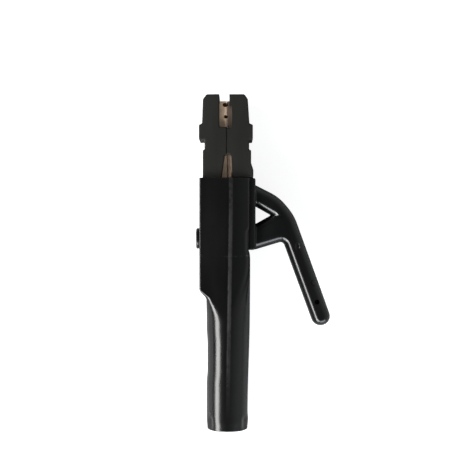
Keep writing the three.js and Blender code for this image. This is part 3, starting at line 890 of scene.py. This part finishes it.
def fixed_insulator():
    """The left half: a plate with a collar, hollowed for the fixed jaw."""
    shell = moulding("fixed_insulator_moulding", [
        (-13.1, TIP_Y), (-22.2, TIP_Y, 2.0), (-24.8, 76, 2.0), (-25.4, 58.8, 0.5),
        (-27.6, COLLAR_TOP, 0.6), (-27.6, COLLAR_END, 0.6), (-23.6, COLLAR_END), (-23.6, WAIST_END),
        (-24.9, WAIST_END, 0.6), (-24.9, 16), (-12, 16), (-9.5, 35.4), (-9.2, 36.6),
        (SEAM_X, SEAM_END), (SEAM_X, WINDOW_END), (-13.1, WINDOW_END),
    ], INSULATOR_WIDTH, 0.6, segments=3)
    soften(shell, voxel=0.42, passes=2)
    cavity = (JAW_BACK - CAVITY_GAP, 0, 0, JAW_TIP_Y + CAVITY_GAP)
    cut(shell, block(*cavity, JAW_WIDTH + 2 * CAVITY_GAP))
    for y in SCREW_YS:
        cut(shell, screw_recess(y, -30, -21.7, -26, -18.5))
    tidy_mesh(shell, angle=CREASE)
    finish_piece(shell, "body", INSULATOR_GREY, ["fixed_jaw_insulator"])


def moving_insulator():
    """The right half. It is made over its size along the seam, melted and cut back to a sharp
    inner edge, and then hollowed for the moving jaw."""
    inner_edge = [
        (-6, TIP_Y + 1), (-6, 71.3), (-4.2, 71.3), (-4.2, WINDOW_END), (SEAM_X + 0.1, WINDOW_END),
        (SEAM_X + 0.1, SEAM_END), (-4.9, 36.6), (-4.6, 35.4), (-3.9, 20),
    ]
    shell = moulding("moving_insulator_moulding", [
        (-7, TIP_Y), (-7, 70.8), (-5.2, 70.8), (-5.2, 55.9), (SEAM_X - 0.9, 55.9), (SEAM_X - 0.9, 38.0),
        (-5.8, 36.6), (-5.5, 35.4), (-4.8, 20.8), (10.9, 20.8), (10.9, 26, 1.0), (9.3, 31, 1.0),
        (9.3, WAIST_END, 0.6), (7.9, WAIST_END), (7.9, COLLAR_END), (10.5, COLLAR_END, 0.6),
        (10.5, COLLAR_TOP, 0.6), (8.1, 58.8, 0.5), (7, 76, 2.0), (4.6, TIP_Y, 2.0),
    ], INSULATOR_WIDTH, 0.6, segments=3)
    soften(shell, voxel=0.42, passes=2)
    cut(shell, prism([(-14, 20), (-14, TIP_Y + 1)] + inner_edge, 2 * INSULATOR_WIDTH))
    cavity = block(-12, 2.1, 23.7, JAW_TIP_Y + CAVITY_GAP, JAW_WIDTH + 2 * CAVITY_GAP)
    throat = block(-12, 6.3, 0, 25, 13.6)
    cut(shell, cavity, throat)
    for y in SCREW_YS:
        cut(shell, screw_recess(y, 4.0, 14, 0.8, 8))
    tidy_mesh(shell, angle=CREASE)
    finish_piece(shell, "lever_jaw", INSULATOR_GREY, ["moving_jaw_insulator"])


def dish(x, y, long_r, short_r, floor, top):
    """A shallow oval cutter, long along Y, from floor up to top above the middle plane."""
    profile = [(0, floor), (0.7 * long_r, floor + 0.05), (long_r, floor + 0.5), (long_r, top), (0, top)]
    cutter = turned("cutter", [(r, MID + z) for r, z in profile], (0, 0), "Z", 40)
    for vertex in cutter.data.vertices:
        vertex.co.x = vertex.co.x * short_r / long_r + x * MM
        vertex.co.y += y * MM
    return cutter


def mark_ring(x, y, radius, floor, top):
    """A narrow round groove, the witness of an ejector pin."""
    profile = [(radius, floor), (radius + 0.5, floor), (radius + 0.5, top), (radius, top), (radius, floor)]
    return turned("cutter", [(r, MID + z) for r, z in profile], (x, y), "Z", 40)


def lever():
    """A round-sectioned handle and its lower brace on a base plate, melted into one, then the
    moulder's marks and the pocket for the moving jaw's tongue."""
    arms = moulding("lever_moulding", [
        (FOOT_X, 15.8), (PLATE_X + 0.5, 15.8, 4.0), (29.5, 7.4, 34), (40.2, -5.5, 36), (67.8, -81.8, 6.7),
        (55.1, -86.4, 6.7), (26.2, -7.1, 6.0), (PLATE_X, 0.7), (FOOT_X, 0.7),
    ], 17.0, ARM_ROUND, rise=7.2, segments=9, steps=9)
    brace = moulding("brace", [
        (FOOT_X, -11.9), (PLATE_X, -11.9), (23.6, -5.6, 1.0), (31, -1), (36.5, -4), (41.2, -12),
        (54.9, -49.9), (43.3, -54.1), (32.4, -24.2, 3.0), (PLATE_X, -30.2), (FOOT_X, -30.2),
    ], 16.8, ARM_ROUND, rise=7.0, segments=9, steps=9)
    base = moulding("base", [
        (BASE_FACE, 20.4, 0.3), (BASE_FACE, -30.4, 0.3), (PLATE_X, -30.4, 1.8), (PLATE_X, 20.4, 1.2),
    ], INSULATOR_WIDTH, 1.0, segments=4)
    cheeks = [block(4.6, BASE_FACE + 1, -30.2, -17.5, 5.7, MID + side * 9.6) for side in (-1, 1)]
    pool(arms, brace, base, *cheeks)
    soften(arms, voxel=0.4, passes=5)
    pin_mark = turned("cutter", [(0, 18), (1.2, 18.6), (1.6, 20), (1.8, 26), (0, 26)], (56.1, -67.4), "Z", 32)
    thumb_mark = dish(42.2, -27.9, long_r=3.2, short_r=2.0, floor=8.1, top=12)
    ejector_mark = mark_ring(54.0, -53.7, radius=1.7, floor=7.75, top=12)
    tongue_pocket = block(4, 10.8, -26.8, 15.8, 6.6)
    cut(arms, pin_mark, thumb_mark, ejector_mark, tongue_pocket)
    tidy_mesh(arms, angle=40)
    finish_piece(arms, "lever_jaw", LEVER_BLACK, ["lever"])


def bolt_cap():
    """The low round cover over the spring bolt's head."""
    top = cad("bolt_cap")[0].x
    edge = LEFT_X - CAVITY_GAP
    profile = [
        (0, top), (5.6, top + 0.04), (6.8, top + 0.15), (7.2, top + 0.35), (7.4, top + 0.75),
        (7.4, edge - 0.3), (7.2, edge), (5.1, edge), (5.1, edge - 1.6), (0, edge - 1.6),
    ]
    piece = turned("bolt_cap_cover", profile, (SPRING_Y, MID), "X", 64)
    finish_piece(piece, "body", LEVER_BLACK, ["bolt_cap"])


# --- Copper jaws -----------------------------------------------------------------------------

GROOVES = ((72.6, -1.2, 1.9), (64.0, -0.8, 1.4), (51.0, 0.0, 1.9))    # Y, shift along X, radius
LONG_GROOVE_R = 1.9
GROOVE_LEAN = 0.24
THROUGH = (-1, DEPTH + 1)    # from below the holder to above it
PIVOT_HOLE_R = 3.05
BUSH_HOLE_R = 4.25
LEVER_PIN_HOLE_R = 1.8
LEVER_PIN_X = 8.5
LEVER_PIN_YS = (12, -24)
SPRING_POCKET_R = 6.0
SOCKET_R = 8.0
SOCKET_OUTER_R = 10.4
CLAMP_HOLE_R = 3.2
CLAMP_YS = (-62, -76)


def cut_grooves(jaw):
    """Leaning grooves across the contact face and one along it, which hold the electrode."""
    for y, shift, radius in GROOVES:
        groove = rod("Z", radius, -2, DEPTH + 2, (CONTACT_X + shift, y))
        for vertex in groove.data.vertices:
            vertex.co.y += (vertex.co.z - (MID + JAW_WIDTH / 2) * MM) * GROOVE_LEAN
        cut(jaw, groove)
    cut(jaw, rod("Y", LONG_GROOVE_R, WINDOW_END, TIP_Y, (CONTACT_X, MID)))


def fixed_jaw():
    """The jaw, its bar down the housing, the pivot's ears and the cable socket in one casting."""
    face = CONTACT_X - CONTACT_GAP
    jaw = moulding("fixed_jaw_casting", [
        (JAW_BACK, 20), (face, 20), (face, JAW_TIP_Y - 0.3), (face - 0.3, JAW_TIP_Y), (-16.5, JAW_TIP_Y),
        (JAW_BACK, 67),
    ], JAW_WIDTH, 0.5, segments=3)
    bar = moulding("bar", [
        (JAW_BACK, 25), (JAW_BACK, 12), (-24, 4), (-24, -54), (-12, -54), (-12, -12), (-9, -4), (-9, 14),
        (face, 17), (face, 25),
    ], 16.0, 0.5, segments=3)
    ears = moulding("ears", [
        (-16, -5.8), (5.8, -5.8, 5.79), (5.8, 5.8, 5.79), (-16, 5.8),
    ], 20.0, 0.4, segments=2)
    cut(ears, block(-8.9, 7, -7, 7, 13.6))
    neck = block(-16, GRIP_X, -52, -40, 16)
    socket = rod("Y", SOCKET_OUTER_R, -86, -40, (GRIP_X, MID), 64)
    for core in (bar, ears, neck, socket):
        combine(jaw, core, "UNION")
    soften(jaw, voxel=0.4, passes=2)
    cut(jaw, rod("Y", SOCKET_R, -87, -48, (GRIP_X, MID), 64), rod("Z", PIVOT_HOLE_R, *THROUGH, (0, 0)))
    cut(jaw, rod("X", SPRING_POCKET_R, -17, -11, (SPRING_Y, MID)))
    cut(jaw, rod("X", BOLT_HOLE_R, -25, -16, (SPRING_Y, MID)))
    for y in CLAMP_YS:
        cut(jaw, rod("X", CLAMP_HOLE_R, -19, GRIP_X, (y, MID)))
    for y in SCREW_YS:
        cut(jaw, rod("X", SCREW_HOLE_R, JAW_BACK - 1, JAW_BACK + 7.4, (y, MID)))
    cut_grooves(jaw)
    tidy_mesh(jaw, angle=CREASE)
    finish_piece(jaw, "body", COPPER, ["fixed_jaw"])


def moving_jaw():
    """The jaw, its beam past the pivot and the tongue that carries the lever."""
    face = CONTACT_X + CONTACT_GAP
    back = 1.8
    jaw = moulding("moving_jaw_casting", [
        (face, 17), (-4.2, 17), (-4.2, 24), (back, 24), (back, 67), (back - 3, JAW_TIP_Y),
        (face + 0.3, JAW_TIP_Y), (face, JAW_TIP_Y - 0.3),
    ], JAW_WIDTH, 0.5, segments=3)
    beam = moulding("beam", [
        (face, 25), (face, -3), (-1, -11), (-1, -29), (6.0, -29), (6.0, 17), (back, 22), (back, 25),
    ], 13.0, 0.5, segments=3)
    tongue = block(0, 10.5, -26.5, 15.5, 6)
    for core in (beam, tongue):
        combine(jaw, core, "UNION")
    soften(jaw, voxel=0.4, passes=2)
    cut(jaw, rod("Z", BUSH_HOLE_R, *THROUGH, (0, 0)))
    for y in LEVER_PIN_YS:
        cut(jaw, rod("Z", LEVER_PIN_HOLE_R, *THROUGH, (LEVER_PIN_X, y)))
    for y in SCREW_YS:
        cut(jaw, rod("X", SCREW_HOLE_R, back - 6.4, back + 1, (y, MID)))
    cut_grooves(jaw)
    tidy_mesh(jaw, angle=CREASE)
    # painted shade: the moving jaw takes the darker copy of the copper
    finish_piece(jaw, "lever_jaw", SHADED_COPPER, ["moving_jaw"])


# --- Screws and spring, grown by node trees ---------------------------------------------------


def form_tree(name, inputs):
    """A geometry tree that grows a form on points, with named inputs and one geometry output."""
    placed = [("Points", "Geometry", None), ("Turn", "Rotation", None), ("Material", "Material", None)]
    return group_tree(name, placed + inputs, [("Geometry", "Geometry")], "GeometryNodeTree")


def end_tree(tree, given, made, shape):
    """Ends a form tree: the shape on every point, made real, in the given material."""
    copies = node(tree, "GeometryNodeInstanceOnPoints", {
        "Points": given["Points"], "Instance": shape, "Rotation": given["Turn"],
    })
    real = node(tree, "GeometryNodeRealizeInstances", {"Geometry": copies.outputs["Instances"]})
    dressed = node(tree, "GeometryNodeSetMaterial", {
        "Geometry": real.outputs["Geometry"], "Material": given["Material"],
    })
    feed(tree, made["Geometry"], dressed.outputs["Geometry"])
    return tree


def grow(name, points, tree, values):
    """Runs a form tree on a set of points and keeps the result as a plain mesh."""
    piece = new_piece(name, points, [])
    growth = piece.modifiers.new("growth", "NODES")
    growth.node_group = tree
    for socket in tree.interface.items_tree:
        if socket.in_out == "INPUT" and socket.name in values:
            growth[socket.identifier] = values[socket.name]
    return settle(piece)


def screw_tree():
    """Slotted cheese-head screws standing on the given points, heads along +Z until turned."""
    tree, given, made = form_tree("slotted_screws", [
        ("Head Radius", "Float", 0.003),
        ("Head Height", "Float", 0.0018),
        ("Shank Radius", "Float", 0.0018),
        ("Shank Length", "Float", 0.008),
        ("Slot Size", "Vector", (0.02, 0.001, 0.0018)),
    ])

    def shifted(shape, height):
        lift = node(tree, "ShaderNodeCombineXYZ", {"Z": height}).outputs["Vector"]
        move = {"Geometry": shape.outputs["Mesh"], "Translation": lift}
        return node(tree, "GeometryNodeTransform", move).outputs["Geometry"]

    def scaled(label, factor):
        return reckon(tree, "MULTIPLY", given[label], factor)

    head = node(tree, "GeometryNodeMeshCylinder", {
        "Vertices": 48, "Radius": given["Head Radius"], "Depth": given["Head Height"],
    })
    crown = node(tree, "GeometryNodeMeshCone", {
        "Vertices": 48, "Depth": 0.0003,
        "Radius Bottom": given["Head Radius"], "Radius Top": scaled("Head Radius", 0.88),
    })
    shank = node(tree, "GeometryNodeMeshCylinder", {
        "Vertices": 32, "Radius": given["Shank Radius"], "Depth": given["Shank Length"],
    })
    slot = node(tree, "GeometryNodeMeshCube", {"Size": given["Slot Size"]})
    whole = node(tree, "GeometryNodeMeshBoolean", operation="UNION", solver="EXACT")
    feed(tree, whole.inputs["Mesh 2"], shifted(head, scaled("Head Height", 0.5)))
    feed(tree, whole.inputs["Mesh 2"], shifted(crown, given["Head Height"]))
    feed(tree, whole.inputs["Mesh 2"], shifted(shank, scaled("Shank Length", -0.45)))
    slotted = node(tree, "GeometryNodeMeshBoolean", {
        "Mesh 1": whole.outputs["Mesh"], "Mesh 2": shifted(slot, scaled("Head Height", 1.17)),
    }, operation="DIFFERENCE", solver="EXACT")
    return end_tree(tree, given, made, slotted.outputs["Mesh"])


def insulator_screws():
    """Two slotted screws in each insulator, heads outwards."""
    tree = screw_tree()
    sides = (("fixed", "body", -1, JAW_BACK - 2.5), ("moving", "lever_jaw", 1, 4.3))
    for place, body, side, seat in sides:
        points = [(seat, y, MID) for y in SCREW_YS]
        values = {"Turn": (0.0, side * math.pi / 2, 0.0), "Material": BLACK_STEEL}
        piece = grow(place + "_insulator_screws", points, tree, values)
        tidy_mesh(piece, merge=0.002, angle=30)
        nodes = ["{}_insulator_screw_{}".format(place, level) for level in ("upper", "lower")]
        finish_piece(piece, body, BLACK_STEEL, nodes)


SPRING_WIRE_R = 0.55
SPRING_END_GAP = 0.1    # at each end of the spring


def spring_tree():
    """A compression spring along +Z from each point, with closed end turns."""
    tree, given, made = form_tree("compression_spring", [
        ("Radius", "Float", 0.0042),
        ("Wire Radius", "Float", SPRING_WIRE_R * MM),
        ("Length", "Float", 0.0133),
        ("Turns", "Float", 5.0),
    ])
    coil = node(tree, "GeometryNodeCurveSpiral", {
        "Resolution": 36, "Rotations": given["Turns"], "Height": 0.0,
        "Start Radius": given["Radius"], "End Radius": given["Radius"],
    })
    along = node(tree, "GeometryNodeSplineParameter").outputs["Factor"]
    pitch = node(tree, "ShaderNodeFloatCurve", {"Value": along})
    for x, y in ((0.15, 0.07), (0.85, 0.93)):
        pitch.mapping.curves[0].points.new(x, y)
    rise = reckon(tree, "MULTIPLY", pitch.outputs["Value"], given["Length"])
    lift = node(tree, "ShaderNodeCombineXYZ", {"Z": rise}).outputs["Vector"]
    stretch = node(tree, "GeometryNodeSetPosition", {"Geometry": coil.outputs["Curve"], "Offset": lift})
    wire = node(tree, "GeometryNodeCurvePrimitiveCircle", {
        "Resolution": 14, "Radius": given["Wire Radius"],
    })
    sweep = node(tree, "GeometryNodeCurveToMesh", {
        "Curve": stretch.outputs["Geometry"], "Profile Curve": wire.outputs["Curve"], "Fill Caps": True,
    })
    return end_tree(tree, given, made, sweep.outputs["Mesh"])


def pressure_spring():
    """The spring that pushes the moving jaw's tail away from its pocket, made at the CAD spring's length."""
    low, high = cad("pressure_spring")
    start = low.x + SPRING_END_GAP
    values = {
        "Length": (high.x - low.x - 2 * SPRING_END_GAP - 2 * SPRING_WIRE_R) * MM,
        "Turn": (0.0, math.pi / 2, 0.0),
        "Material": ZINC_STEEL,
    }
    piece = grow("pressure_spring_wire", [(start + SPRING_WIRE_R, SPRING_Y, MID)], spring_tree(), values)
    tidy_mesh(piece, merge=0.002, angle=50)
    finish_piece(piece, "body", ZINC_STEEL, ["pressure_spring"])
    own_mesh(piece)


def cad_finishes():
    """CAD parts whose shape is right keep their node and take a worked material."""
    finishes = {
        COPPER: ["cable_sleeve"],
        ZINC_STEEL: [
            "pivot_pin", "pivot_bush", "spring_bolt", "clamp_plate", "lever_pin_upper", "lever_pin_lower",
        ],
        BLACK_STEEL: ["pivot_clip_front", "pivot_clip_back", "clamp_screw_upper", "clamp_screw_lower"],
    }
    for material, names in finishes.items():
        for name in names:
            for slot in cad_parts[name].material_slots:
                slot.material = material


camera_above()
studio()
cad_finishes()
housing()
fixed_insulator()
moving_insulator()
lever()
bolt_cap()
fixed_jaw()
moving_jaw()
insulator_screws()
pressure_spring()
